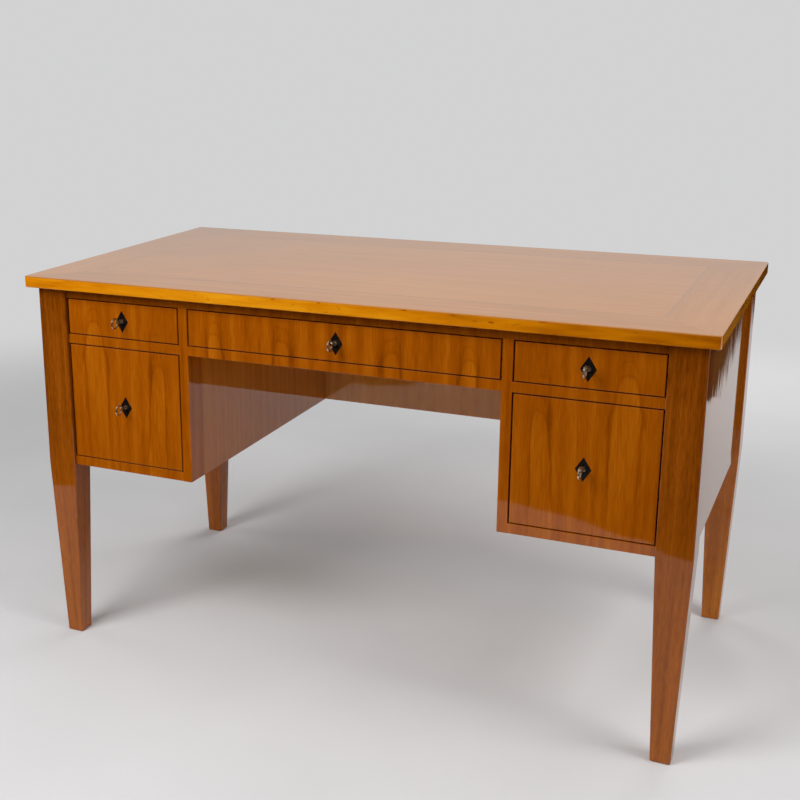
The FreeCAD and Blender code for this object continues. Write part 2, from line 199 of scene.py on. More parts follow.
class Grain(Enum):
    """Axes across and along the grain, and the same two where a strip or board turns the corner."""

    UPRIGHT = ("XY", "Z", "", "")
    LENGTHWISE = ("YZ", "X", "", "")
    DEPTHWISE = ("XZ", "Y", "", "")
    BORDER = ("Y", "X", "X", "Y")
    EDGE = ("Z", "X", "Z", "Y")
    BOX = ("XZ", "Y", "YZ", "X")

    def lay(self, tree: Tree) -> Socket:
        """Build the plank's own coordinates in millimetres.

        Args:
            tree: Node tree of the finish.

        Returns:
            A vector socket: across the grain, along it, and zero.
        """
        across, along, turned_across, turned_along = self.value
        place = put(tree, "TexCoord", {}).outputs["Object"]
        from_face = put(tree, "VectorMath", {0: place, 1: (0.0, FRONT_FACE, 0.0)}, operation="SUBTRACT")
        scaled = put(tree, "VectorMath", {0: from_face.outputs[0], "Scale": MM_PER_M}, operation="SCALE")
        axes = put(tree, "SeparateXYZ", {0: scaled.outputs[0]}).outputs
        plank = put(tree, "CombineXYZ", {0: self.width(tree, axes, across), 1: axes[along]}).outputs[0]
        if not turned_across:
            return plank
        turned_links = {0: self.width(tree, axes, turned_across), 1: axes[turned_along]}
        turned = put(tree, "CombineXYZ", turned_links).outputs[0]
        turns = rear_board(tree, axes) if self is Grain.BOX else mitre_side(tree, axes)
        return Blend.VECTOR.lay(tree, turns, plank, turned)

    def width(self, tree: Tree, axes: bpy.types.NodeOutputs, letters: str) -> Socket:
        """Add up the axes across the grain, so that a board's edges are drawn as well as its face.

        Args:
            tree: Node tree of the finish.
            axes: Coordinates in millimetres.
            letters: Axes across the grain; X counts from the middle plane to either side.

        Returns:
            The distance across the grain.
        """
        size = calc(tree, "ABSOLUTE", axes["X"])
        sockets = [size if letter == "X" else axes[letter] for letter in letters]
        return sockets[0] if len(sockets) == 1 else calc(tree, "ADD", *sockets)


def rear_board(tree: Tree, axes: bpy.types.NodeOutputs) -> Socket:
    """Tell the back board of a drawer box from its sides.

    Args:
        tree: Node tree of the finish.
        axes: Coordinates in millimetres.

    Returns:
        A socket that is 1 on the back board and 0 on the sides.
    """
    rear = (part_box("centre_box")[1].y - FRONT_FACE) * MM_PER_M
    return calc(tree, "GREATER_THAN", axes["Y"], rear - DRAWER_BACK_MM)


def insets(tree: Tree, axes: bpy.types.NodeOutputs, layer: str, origin: float) -> tuple[Socket, Socket]:
    """Measure how far a point lies inside the outline of one of the top's layers.

    Args:
        tree: Node tree of the finish.
        axes: Coordinates in millimetres.
        layer: CAD node of the layer.
        origin: Depth in metres that the coordinates count from.

    Returns:
        The distance to the nearer side edge, and to the nearer of the front and back edges.
    """
    low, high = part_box(layer)
    middle = ((low.y + high.y) / 2 - origin) * MM_PER_M
    half_depth = (high.y - low.y) / 2 * MM_PER_M
    x_size = calc(tree, "ABSOLUTE", axes["X"])
    y_size = calc(tree, "ABSOLUTE", calc(tree, "SUBTRACT", axes["Y"], middle))
    to_side = calc(tree, "SUBTRACT", high.x * MM_PER_M, x_size)
    to_front = calc(tree, "SUBTRACT", half_depth, y_size)
    return to_side, to_front


def mitre_side(tree: Tree, axes: bpy.types.NodeOutputs) -> Socket:
    """Tell the tabletop's side strips from its front and back ones at the mitres.

    Args:
        tree: Node tree of the finish.
        axes: Coordinates in millimetres.

    Returns:
        A socket that is 1 on the side strips and 0 on the others.
    """
    return calc(tree, "LESS_THAN", *insets(tree, axes, "top_border_veneer", FRONT_FACE))


@dataclass(frozen=True)
class Streak:
    """Soft noise stretched along the grain, with its width and length in millimetres."""

    width_mm: float
    length_mm: float
    seed: float
    detail: float

    def lay(self, tree: Tree, plank: Socket) -> Socket:
        """Draw the streaks on a plank.

        Args:
            tree: Node tree of the finish.
            plank: The plank's coordinates.

        Returns:
            A socket from 0 to 1, with 0.5 in the middle.
        """
        links = {
            "Vector": plank,
            "Scale": (1 / self.width_mm, 1 / self.length_mm, 1.0),
            "Location": (self.seed, self.seed, self.seed),
        }
        stretched = put(tree, "Mapping", links).outputs[0]
        return put(tree, "TexNoise", {"Vector": stretched, "Scale": 1.0, "Detail": self.detail}).outputs[0]


class Layer(Enum):
    """Patterns of a veneer, each with its step from the veneer's own seed."""

    FIBRE = 0
    SWAY = 3
    WANDER = 5
    CURL = 7
    STREAK = 9
    CLOUD = 11
    RIPPLE = 13
    WARP = 17


@dataclass(frozen=True)
class PolishedCherry:
    """Crown-cut cherry veneer under French polish: soft nested arches under a mirror-like film.

    Tones run from light at 0 to dark at 1, and each pattern adds to them by its weight. A film of
    0.5 mirrors as a full coat of shellac does, and a lower one as a coat that is rubbed thinner.
    """

    name: str
    grain: Grain
    light: str = "#B0620C"
    middle: str = "#974B02"
    dark: str = "#723400"
    middle_stop: float = 0.45
    base_tone: float = 0.4
    arch_weight: float = 0.8
    fibre_weight: float = 0.75
    fibre_mm: tuple[float, float] = (2.0, 36.0)
    streak_weight: float = 0.8
    streak_mm: tuple[float, float] = (17.0, 420.0)
    cloud_weight: float = 0.3
    cloud_mm: tuple[float, float] = (150.0, 190.0)
    leaf_mm: float = 137.0
    leaf_start_mm: float = 36.5
    sway_mm: tuple[float, float] = (60.0, 260.0)
    sway_reach_mm: float = 34.0
    wander_mm: tuple[float, float] = (18.0, 80.0)
    wander_reach_mm: float = 18.0
    arch_half_mm: float = 16.5
    arch_fall_mm: float = 45.0
    arch_power: float = 4.0
    outlines: tuple[tuple[float, float], ...] = ((0.0, 0.22), (24.0, 0.16), (58.0, 0.12))
    outline_mm: float = 4.2
    tongue_light: float = 0.14
    apex_mm: float = 684.0
    fade_mm: tuple[float, float] = (-260.0, -60.0)
    fade_floor: float = 0.3
    low_leaf_mm: float = 381.0
    low_leaf_drop_mm: float = 74.0
    curls: float = 0.0
    curl_mm: tuple[float, float] = (7.0, 26.0)
    curl_floor: float = 0.64
    curl_edge: float = 0.1
    # Painted falloff of light: the tone darkens along the grain away from the most lit point.
    painted_falloff_per_m: float = 0.0
    most_lit_mm: float = 0.0
    ripple: float = 1.0
    ripple_mm: float = 9.0
    ripple_length_mm: float = 240.0
    ripple_height_mm: float = 0.06
    warp: float = 6.0
    warp_mm: tuple[float, float] = (75.0, 95.0)
    roughness: float = 0.04
    film: float = 0.5
    seed: float = 1.0

    def pattern(
        self, tree: Tree, plank: Socket, layer: Layer, size_mm: tuple[float, float], detail: float,
    ) -> Socket:
        """Draw one of the veneer's patterns.

        Args:
            tree: Node tree of the finish.
            plank: The plank's coordinates.
            layer: Which pattern it is.
            size_mm: Its width and length.
            detail: How ragged it is.

        Returns:
            A socket from 0 to 1, with 0.5 in the middle.
        """
        return Streak(*size_mm, self.seed + layer.value, detail).lay(tree, plank)

    def arches(self, tree: Tree, plank: Socket) -> Socket:
        """Draw one tongue per leaf of veneer, outlined three times, the leaves mirrored at their joints.

        Args:
            tree: Node tree of the finish.
            plank: The plank's coordinates.

        Returns:
            A socket that is above 0 on the dark outlines, below it inside a tongue, and 0 elsewhere.
        """
        axes = put(tree, "SeparateXYZ", {0: plank}).outputs
        sway = self.pattern(tree, plank, Layer.SWAY, self.sway_mm, detail=1.0)
        wander = self.pattern(tree, plank, Layer.WANDER, self.wander_mm, detail=3.0)
        swayed = calc(tree, "MULTIPLY_ADD", sway, self.sway_reach_mm, axes["X"])
        start = calc(tree, "SUBTRACT", swayed, self.leaf_start_mm + NOISE_MIDDLE * self.sway_reach_mm)
        leaf = calc(tree, "PINGPONG", start, self.leaf_mm)
        reach = calc(tree, "ABSOLUTE", calc(tree, "SUBTRACT", leaf, self.leaf_mm / 2))
        share = calc(tree, "DIVIDE", reach, self.arch_half_mm)
        curve = calc(tree, "POWER", share, self.arch_power)
        low_leaf = calc(tree, "COMPARE", axes["X"], self.low_leaf_mm, self.leaf_mm / 2)
        level = calc(tree, "MULTIPLY_ADD", low_leaf, self.low_leaf_drop_mm, axes["Y"])
        height = calc(tree, "SUBTRACT", level, self.apex_mm)
        climb = calc(tree, "MULTIPLY_ADD", curve, self.arch_fall_mm, height)
        # Dividing by the curve's steepness keeps an outline as wide on the flanks as at the tip.
        rise = self.arch_power * self.arch_fall_mm / self.arch_half_mm
        slope = calc(tree, "MULTIPLY", calc(tree, "POWER", share, self.arch_power - 1), rise)
        run = calc(tree, "SQRT", calc(tree, "MULTIPLY_ADD", slope, slope, 1.0))
        figure = 0.0
        for rise_mm, weight in self.outlines:
            off_line = calc(tree, "DIVIDE", calc(tree, "SUBTRACT", climb, rise_mm), run)
            bent = calc(tree, "MULTIPLY_ADD", wander, self.wander_reach_mm, off_line)
            away = calc(tree, "SUBTRACT", bent, NOISE_MIDDLE * self.wander_reach_mm)
            line_links = {
                "Value": calc(tree, "ABSOLUTE", away),
                "From Min": 0.0,
                "From Max": self.outline_mm,
                "To Min": weight,
                "To Max": 0.0,
            }
            line = put(tree, "MapRange", line_links, interpolation_type="SMOOTHSTEP").outputs[0]
            figure = calc(tree, "ADD", line, figure)
        inside = calc(tree, "LESS_THAN", climb, 0.0)
        figure = calc(tree, "MULTIPLY_ADD", inside, -self.tongue_light, figure)
        fade_links = {
            "Value": height,
            "From Min": self.fade_mm[0],
            "From Max": self.fade_mm[1],
            "To Min": self.fade_floor,
            "To Max": 1.0,
        }
        fade = put(tree, "MapRange", fade_links).outputs[0]
        return calc(tree, "MULTIPLY", figure, fade)

    def curl_marks(self, tree: Tree, plank: Socket) -> Socket:
        """Scatter small ragged marks where the grain curls round pin knots.

        Args:
            tree: Node tree of the finish.
            plank: The plank's coordinates.

        Returns:
            A socket that is 1 in a mark and 0 off it.
        """
        ragged = self.pattern(tree, plank, Layer.CURL, self.curl_mm, detail=3.0)
        ceiling = self.curl_floor + self.curl_edge
        mark_links = {"Value": ragged, "From Min": self.curl_floor, "From Max": ceiling}
        return put(tree, "MapRange", mark_links).outputs[0]

    def painted_falloff(self, tree: Tree, plank: Socket) -> Socket:
        """Measure the distance along the grain, in millimetres, from the most lit point of a painted
        falloff of light.

        Args:
            tree: Node tree of the finish.
            plank: The plank's coordinates.

        Returns:
            The distance to either side.
        """
        along = put(tree, "SeparateXYZ", {0: plank}).outputs["Y"]
        return calc(tree, "ABSOLUTE", calc(tree, "SUBTRACT", along, self.most_lit_mm))

    def build(self) -> bpy.types.Material:
        """Build the finish.

        Returns:
            The material.
        """
        material, tree = blank_material(self.name)
        plank = self.grain.lay(tree)
        # Fibres in cherry are finer than a pixel, so they are drawn about 2 mm wide to show.
        layers = [
            (self.pattern(tree, plank, Layer.FIBRE, self.fibre_mm, detail=4.0), self.fibre_weight),
            (self.pattern(tree, plank, Layer.STREAK, self.streak_mm, detail=2.0), self.streak_weight),
            (self.pattern(tree, plank, Layer.CLOUD, self.cloud_mm, detail=1.0), self.cloud_weight),
        ]
        tone = self.base_tone - NOISE_MIDDLE * sum(weight for _, weight in layers)
        # Painted falloff of light and shade: darker with distance along the grain from the most lit point.
        if self.painted_falloff_per_m:
            layers.append((self.painted_falloff(tree, plank), self.painted_falloff_per_m * MM))
        if self.arch_weight:
            layers.append((self.arches(tree, plank), self.arch_weight))
        if self.curls:
            layers.append((self.curl_marks(tree, plank), self.curls))
        for drawn, weight in layers:
            tone = calc(tree, "MULTIPLY_ADD", drawn, weight, tone)
        stops = [(0.0, self.light), (self.middle_stop, self.middle), (1.0, self.dark)]
        colour = put(tree, "ValToRGB", {0: tone}, stops=stops).outputs[0]
        # The film follows the wood as it moves: narrow ripples along the grain, and a slow warp.
        ripple_size = (self.ripple_mm, self.ripple_length_mm)
        ripple = self.pattern(tree, plank, Layer.RIPPLE, ripple_size, detail=1.0)
        warp = self.pattern(tree, plank, Layer.WARP, self.warp_mm, detail=1.0)
        height = calc(tree, "MULTIPLY_ADD", warp, self.warp, ripple)
        coat(tree, {
            "Base Color": colour,
            "Roughness": self.roughness,
            "IOR": POLISH_IOR,
            "Specular IOR Level": self.film,
            "Normal": relief(tree, height, self.ripple_height_mm * self.ripple, strength=1.0),
        })
        return material


@dataclass(frozen=True)
class PlanedBoard:
    """Planed and waxed softwood or oak inside the desk: dull, with straight growth lines."""

    name: str
    grain: Grain
    light: str
    dark: str
    line_mm: float
    line_length_mm: float = 300.0
    line_weight: float = 1.6
    pore_mm: tuple[float, float] = (1.2, 18.0)
    pore_weight: float = 0.5
    pore_depth_mm: float = 0.1
    pore_strength: float = 0.3
    paleness: float = 0.3
    roughness: float = 0.55
    seed: float = 2.0
    pore_seed: float = 6.0

    def build(self) -> bpy.types.Material:
        """Build the finish.

        Returns:
            The material.
        """
        material, tree = blank_material(self.name)
        plank = self.grain.lay(tree)
        line = Streak(self.line_mm, self.line_length_mm, self.seed, detail=3.0).lay(tree, plank)
        pore = Streak(*self.pore_mm, self.pore_seed, detail=2.0).lay(tree, plank)
        tone = calc(tree, "MULTIPLY_ADD", pore, self.pore_weight, -NOISE_MIDDLE * self.pore_weight)
        tone = calc(tree, "MULTIPLY_ADD", line, self.line_weight, tone)
        tone = calc(tree, "SUBTRACT", tone, self.paleness)
        colour = put(tree, "ValToRGB", {0: tone}, stops=[(0.0, self.light), (1.0, self.dark)]).outputs[0]
        coat(tree, {
            "Base Color": colour,
            "Roughness": self.roughness,
            "IOR": POLISH_IOR,
            "Normal": relief(tree, pore, self.pore_depth_mm, self.pore_strength),
        })
        return material


@dataclass(frozen=True)
class StringingLine:
    """Boxwood line between two ebony hairlines, scraped flush and polished with the top."""

    name: str = "boxwood_stringing_polished"
    boxwood: str = "#C0905C"
    ebony: str = "#643A22"
    hairline_mm: float = 0.8
    roughness: float = 0.06

    def build(self) -> bpy.types.Material:
        """Build the finish.

        Returns:
            The material.
        """
        material, tree = blank_material(self.name)
        outer, inner = (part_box(node)[1].x for node in ("top_stringing", "top_field_veneer"))
        half_width = (outer - inner) / 2 * MM_PER_M
        place = put(tree, "TexCoord", {}).outputs["Object"]
        scaled = put(tree, "VectorMath", {0: place, "Scale": MM_PER_M}, operation="SCALE")
        axes = put(tree, "SeparateXYZ", {0: scaled.outputs[0]}).outputs
        inset = calc(tree, "MINIMUM", *insets(tree, axes, "top_stringing", 0.0))
        off_line = calc(tree, "ABSOLUTE", calc(tree, "SUBTRACT", inset, half_width))
        is_ebony = calc(tree, "GREATER_THAN", off_line, half_width - self.hairline_mm)
        colour = Blend.RGBA.lay(tree, is_ebony, linear(self.boxwood), linear(self.ebony))
        coat(tree, {"Base Color": colour, "Roughness": self.roughness, "IOR": POLISH_IOR})
        return material


@dataclass(frozen=True)
class EbonisedPear:
    """Pear stained black and polished: almost no grain, a soft dark gloss with fine scratches."""

    name: str = "pear_ebonised"
    black: str = "#0E0B09"
    worn: str = "#1E1712"
    rubbed_mm: tuple[float, float] = (3.0, 14.0)
    rubbed_stops: tuple[float, float] = (0.4, 0.75)
    scratch_depth_mm: float = 0.05
    scratch_strength: float = 0.2
    roughness: float = 0.22
    seed: float = 21.0

    def build(self) -> bpy.types.Material:
        """Build the finish.

        Returns:
            The material.
        """
        material, tree = blank_material(self.name)
        plank = Grain.UPRIGHT.lay(tree)
        rubbed = Streak(*self.rubbed_mm, self.seed, detail=3.0).lay(tree, plank)
        stops = list(zip(self.rubbed_stops, (self.black, self.worn)))
        coat(tree, {
            "Base Color": put(tree, "ValToRGB", {0: rubbed}, stops=stops).outputs[0],
            "Roughness": self.roughness,
            "IOR": POLISH_IOR,
            "Normal": relief(tree, rubbed, self.scratch_depth_mm, self.scratch_strength),
        })
        return material


@dataclass(frozen=True)
class WornMetal:
    """Old cast brass or bronze: bright where hands rub it, brown in the hollows."""

    name: str
    bright: str
    brown: str
    patch_mm: float
    roughness: float
    patch_stops: tuple[float, float] = (0.38, 0.68)
    roughness_spread: float = 0.3
    rubbed_smoother: float = 0.1
    pit_mm: float = 0.8
    pit_depth_mm: float = 0.1
    pit_strength: float = 0.25
    seed: float = 31.0
    pit_seed: float = 37.0

    def build(self) -> bpy.types.Material:
        """Build the finish.

        Returns:
            The material.
        """
        material, tree = blank_material(self.name)
        plank = Grain.UPRIGHT.lay(tree)
        patch = Streak(self.patch_mm, self.patch_mm, self.seed, detail=4.0).lay(tree, plank)
        pits = Streak(self.pit_mm, self.pit_mm, self.pit_seed, detail=2.0).lay(tree, plank)
        stops = list(zip(self.patch_stops, (self.bright, self.brown)))
        smoothest = self.roughness - self.rubbed_smoother
        coat(tree, {
            "Base Color": put(tree, "ValToRGB", {0: patch}, stops=stops).outputs[0],
            "Metallic": 1.0,
            "Roughness": calc(tree, "MULTIPLY_ADD", patch, self.roughness_spread, smoothest),
            "Normal": relief(tree, pits, self.pit_depth_mm, self.pit_strength),
        })
        return material


@dataclass(frozen=True)
class StudioPaper:
    """Matt seamless paper: it takes the soft shadow and fades into the backdrop's tone far off."""

    name: str = "paper_seamless"
    near: str = "#D6D6D7"
    mottled: str = "#D2D2D3"
    far: str = "#D2D2D3"
    mottle_per_m: float = 3.0
    mottle_detail: float = 2.0
    mottle_stops: tuple[float, float] = (0.3, 0.7)
    fade_start_m: float = 1.5
    fade_end_m: float = 3.2

    def build(self) -> bpy.types.Material:
        """Build the finish.

        Returns:
            The material.
        """
        material, tree = blank_material(self.name)
        place = put(tree, "TexCoord", {}).outputs["Object"]
        mottle_links = {"Vector": place, "Scale": self.mottle_per_m, "Detail": self.mottle_detail}
        mottle = put(tree, "TexNoise", mottle_links).outputs[0]
        stops = list(zip(self.mottle_stops, (self.near, self.mottled)))
        colour = put(tree, "ValToRGB", {0: mottle}, stops=stops).outputs[0]
        paper = put(tree, "BsdfDiffuse", {"Color": colour}).outputs[0]
        tone = put(tree, "Emission", {"Color": linear(self.far), "Strength": 1.0}).outputs[0]
        distance = put(tree, "VectorMath", {0: place}, operation="LENGTH").outputs["Value"]
        fade_links = {"Value": distance, "From Min": self.fade_start_m, "From Max": self.fade_end_m}
        fade = put(tree, "MapRange", fade_links, interpolation_type="SMOOTHSTEP").outputs[0]
        blend = put(tree, "MixShader", {0: fade, 1: paper, 2: tone}).outputs[0]
        put(tree, "OutputMaterial", {"Surface": blend})
        return material


@dataclass(frozen=True)
class FlagCloth:
    """Matt dark cloth on a light flag: it keeps the front's reflections deep."""

    name: str = "cloth_flag_dark"
    tone: str = "#1C1714"

    def build(self) -> bpy.types.Material:
        """Build the finish.

        Returns:
            The material.
        """
        material, tree = blank_material(self.name)
        cloth = put(tree, "BsdfDiffuse", {"Color": linear(self.tone)}).outputs[0]
        put(tree, "OutputMaterial", {"Surface": cloth})
        return material


@dataclass
class Tabletop:
    """Top with its core, lipping, mitred border, stringing and field."""

    def dress(self) -> None:
        """Give each layer of the top its finish."""
        # Field and border darken away from a point right of the middle: a painted falloff of light on the
        # top.
        field = PolishedCherry(
            "cherry_field_polished", Grain.LENGTHWISE, light="#C28542", middle="#B47738", dark="#9C632C",
            base_tone=0.32, painted_falloff_per_m=0.45, most_lit_mm=100.0, arch_weight=0.25, fibre_weight=0.4,
            streak_weight=0.5, leaf_mm=170.0, ripple=0.5, seed=41.0,
        )
        border = PolishedCherry(
            "cherry_border_polished", Grain.BORDER, light="#BF8240", middle="#B07435", dark="#98612A",
            base_tone=0.42, painted_falloff_per_m=0.35, most_lit_mm=100.0, arch_weight=0.0, fibre_weight=0.5,
            ripple=0.5, seed=47.0,
        )
        # The lipping darkens away from a point left of the middle: a painted falloff of the key lamp's
        # light.
        lipping = PolishedCherry(
            "cherry_lipping_polished", Grain.EDGE, light="#DE9614", middle="#C67604", dark="#8E4600",
            arch_weight=0.0, fibre_weight=0.15, streak_weight=0.8, streak_mm=(11.0, 90.0), curls=0.8,
            base_tone=0.2, painted_falloff_per_m=0.68, most_lit_mm=-220.0, ripple=0.15, warp=2.0, seed=53.0,
        )
        dress("top_field_veneer", field.build())
        dress("top_border_veneer", border.build())
        dress("top_lipping", lipping.build())
        dress("top_stringing", StringingLine().build())
        core = PlanedBoard("pine_core_planed", Grain.LENGTHWISE, "#C79C66", "#A87840", line_mm=9.0)
        dress("top_core", core.build())


@dataclass
class Carcass:
    """Legs, front frame, panels and the hidden runners."""

    def dress(self, front: bpy.types.Material) -> None:
        """Give the carcass its finishes.

        Args:
            front: Veneer that runs over the whole front.
        """
        # Painted shade: the legs' tone darkens from the floor upwards, for the top's overhang and a key
        # lamp that lights the feet more.
        leg_finish = PolishedCherry(
            "cherry_leg_polished", Grain.UPRIGHT, light="#AA5C12", middle="#8A4608", dark="#5E2A00",
            arch_weight=0.0, fibre_weight=0.9, fibre_mm=(1.8, 26.0), streak_weight=0.9,
            streak_mm=(9.0, 380.0), base_tone=0.2, painted_falloff_per_m=0.75, film=0.38, seed=61.0,
        )
        leg = leg_finish.build()
        # Paler copy of the leg finish for the back right leg: painted light that the lamps don't give it.
        lit_leg = replace(
            leg_finish, name="cherry_leg_painted_light_polished", light="#C6741E", middle="#A6590E", dark="#7A3B04",
        ).build()
        panel = PolishedCherry(
            "cherry_panel_polished", Grain.UPRIGHT, light="#BE7420", middle="#AA5E10", dark="#84460A",
            arch_weight=0.25, seed=67.0,
        ).build()
        side_panel = PolishedCherry(
            "cherry_side_polished", Grain.UPRIGHT, light="#9C5C1C", middle="#864A0C", dark="#643400",
            arch_weight=0.25, ripple_mm=12.0, ripple=1.3, warp=1.5, roughness=0.025, seed=79.0,
        ).build()
        # Paler copy of the cherry for the back panel: painted light in the kneehole, where little lamp
        # light reaches.
        back = PolishedCherry(
            "cherry_back_painted_light_polished", Grain.UPRIGHT, light="#D08C40", middle="#BC7428", dark="#985616",
            arch_weight=0.3, seed=71.0,
        ).build()
        pine = PlanedBoard("pine_runner_planed", Grain.DEPTHWISE, "#C9A06C", "#A5763E", line_mm=6.0).build()
        # Darker copy of the cherry for the top rail: painted shade of the top's overhang.
        shaded_rail = PolishedCherry(
            "cherry_rail_painted_shade_polished", Grain.UPRIGHT, light="#94500A", middle="#7C3C02", dark="#5A2800",
            arch_weight=0.2, seed=73.0,
        ).build()
        dress("front_top_rail", shaded_rail)
        dress("kneehole_rail", front)
        dress("back_panel", back)
        for side in SIDES:
            for member in ("mid_rail_", "bottom_rail_", "stile_"):
                dress(member + side, front)
            dress("side_panel_" + side, side_panel)
            dress("inner_panel_" + side, panel)
            dress("leg_front_" + side, leg)
        dress("leg_back_left", leg)
        dress("leg_back_right", lit_leg)
        for hidden in ("drawer_runners", "top_kickers", "drawer_stops"):
            dress(hidden, pine)


@dataclass
class DrawerFinishes:
    """Finishes that all drawers share."""

    front: bpy.types.Material
    oak_side: bpy.types.Material
    oak_bottom: bpy.types.Material
    pear: bpy.types.Material
    brass: bpy.types.Material
    bronze: bpy.types.Material


@dataclass(frozen=True)
class SlottedScrew:
    """Countersunk brass screw: its head stands a hair proud, with one slot filed across it."""

    radius: float = 2.7 * MM
    proud: float = 0.3 * MM
    slot_width: float = 0.9 * MM
    slot_floor: float = 0.05 * MM
    steps: int = 12

    def add(self, shape: bmesh.types.BMesh, seat: Matrix) -> None:
        """Add the head to a mesh: two raised halves and the slot's floor between them.

        Args:
            shape: Mesh that gets the head.
            seat: Place of the head, with its axis along the seat's Z and its slot along X.
        """
        half = self.slot_width / 2
        start = math.asin(half / self.radius)
        sweep = (math.pi - 2 * start) / self.steps
        for turn in (0.0, math.pi):
            rim = [self.rim_point(turn + start + sweep * step) for step in range(self.steps + 1)]
            self.raise_prism(shape, seat, rim, self.proud)
        reach = self.radius * math.cos(start)
        floor = [(-reach, -half), (reach, -half), (reach, half), (-reach, half)]
        self.raise_prism(shape, seat, floor, self.slot_floor)

    def raise_prism(
        self, shape: bmesh.types.BMesh, seat: Matrix, outline: list[tuple[float, float]], height: float,
    ) -> None:
        """Add a closed prism that stands on the seat.

        Args:
            shape: Mesh that gets the prism.
            seat: Place that it stands on.
            outline: Corners of its foot, in order.
            height: Its height.
        """
        foot = [shape.verts.new(seat @ Vector((x, y, 0.0))) for x, y in outline]
        head = [shape.verts.new(seat @ Vector((x, y, height))) for x, y in outline]
        shape.faces.new(foot[::-1])
        shape.faces.new(head)
        for index in range(len(outline)):
            before = index - 1
            shape.faces.new((foot[before], foot[index], head[index], head[before]))

    def rim_point(self, angle: float) -> tuple[float, float]:
        """Give the point of the rim at an angle from the slot."""
        return self.radius * math.cos(angle), self.radius * math.sin(angle)


@dataclass
class LockScrews:
    """Screws that hold a lock: four through its case's back and two through the plate on top."""

    drawer: str
    case_reach: float = 18.0 * MM
    case_levels: tuple[float, float] = (4.5 * MM, 24.5 * MM)
    plate_reach: float = 21.0 * MM
    plate_inset: float = 5.5 * MM
    case_turn_deg: float = 25.0
    case_turn_deg_per_m: float = 900.0
    plate_turn_deg: float = 35.0

    def build(self, finish: bpy.types.Material) -> None:
        """Build the screws and let them ride on the drawer.

        Args:
            finish: Metal of the screws.
        """
        low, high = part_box(self.drawer + "_lock")
        middle = (low.x + high.x) / 2
        on_back = Matrix.Rotation(math.radians(-90), 4, "X")
        seats = []
        for side in (-1, 1):
            for level in self.case_levels:
                place = Vector((middle + side * self.case_reach, high.y, low.z + level))
                turn = math.radians(self.case_turn_deg * side + self.case_turn_deg_per_m * level)
                seats.append(Matrix.Translation(place) @ on_back @ Matrix.Rotation(turn, 4, "Z"))
            place = Vector((middle + side * self.plate_reach, high.y - self.plate_inset, high.z))
            turn = math.radians(self.plate_turn_deg * side)
            seats.append(Matrix.Translation(place) @ Matrix.Rotation(turn, 4, "Z"))
        shape = bmesh.new()
        for seat in seats:
            SlottedScrew().add(shape, seat)
        bmesh.ops.recalc_face_normals(shape, faces=shape.faces)
        mesh = bpy.data.meshes.new(self.drawer + "_lock_screws")
        shape.to_mesh(mesh)
        shape.free()
        mesh.materials.append(finish)
        screws = bpy.data.objects.new(self.drawer + "_lock_screws", mesh)
        bpy.context.scene.collection.objects.link(screws)
        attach(screws, self.drawer + "_drawer")
        log.info("built %s", screws.name)


@dataclass
class Drawer:
    """One drawer with its box, escutcheon, lock and key."""

    name: str

    def dress(self, finishes: DrawerFinishes) -> None:
        """Give the drawer's pieces their finishes.

        Args:
            finishes: Finishes that all drawers share.
        """
        dress(self.name + "_front", finishes.front)
        dress(self.name + "_box", finishes.oak_side)
        dress(self.name + "_bottom", finishes.oak_bottom)
        dress(self.name + "_escutcheon", finishes.pear)
        dress(self.name + "_lock", finishes.brass)
        dress(self.name + "_bolt", finishes.brass)
        dress(self.name + "_key", finishes.bronze)
        LockScrews(self.name).build(finishes.brass)


@dataclass(frozen=True)
class Lamp:
    """Square softbox of the studio."""

    name: str
    place: tuple[float, float, float]
    aim: tuple[float, float, float]
    size_m: float
    watts: float

    def hang(self) -> None:
        """Hang the softbox and turn it to what it lights."""
        lamp = bpy.data.lights.new(self.name, "AREA")
        lamp.size = self.size_m
        lamp.energy = self.watts
        hung = bpy.data.objects.new(self.name, lamp)
        hung.location = self.place
        hung.visible_camera = False
        hung.visible_glossy = False
        hung.rotation_euler = (Vector(self.aim) - Vector(self.place)).to_track_quat("-Z", "Y").to_euler()
        bpy.context.scene.collection.objects.link(hung)
        log.info("hung %s", self.name)


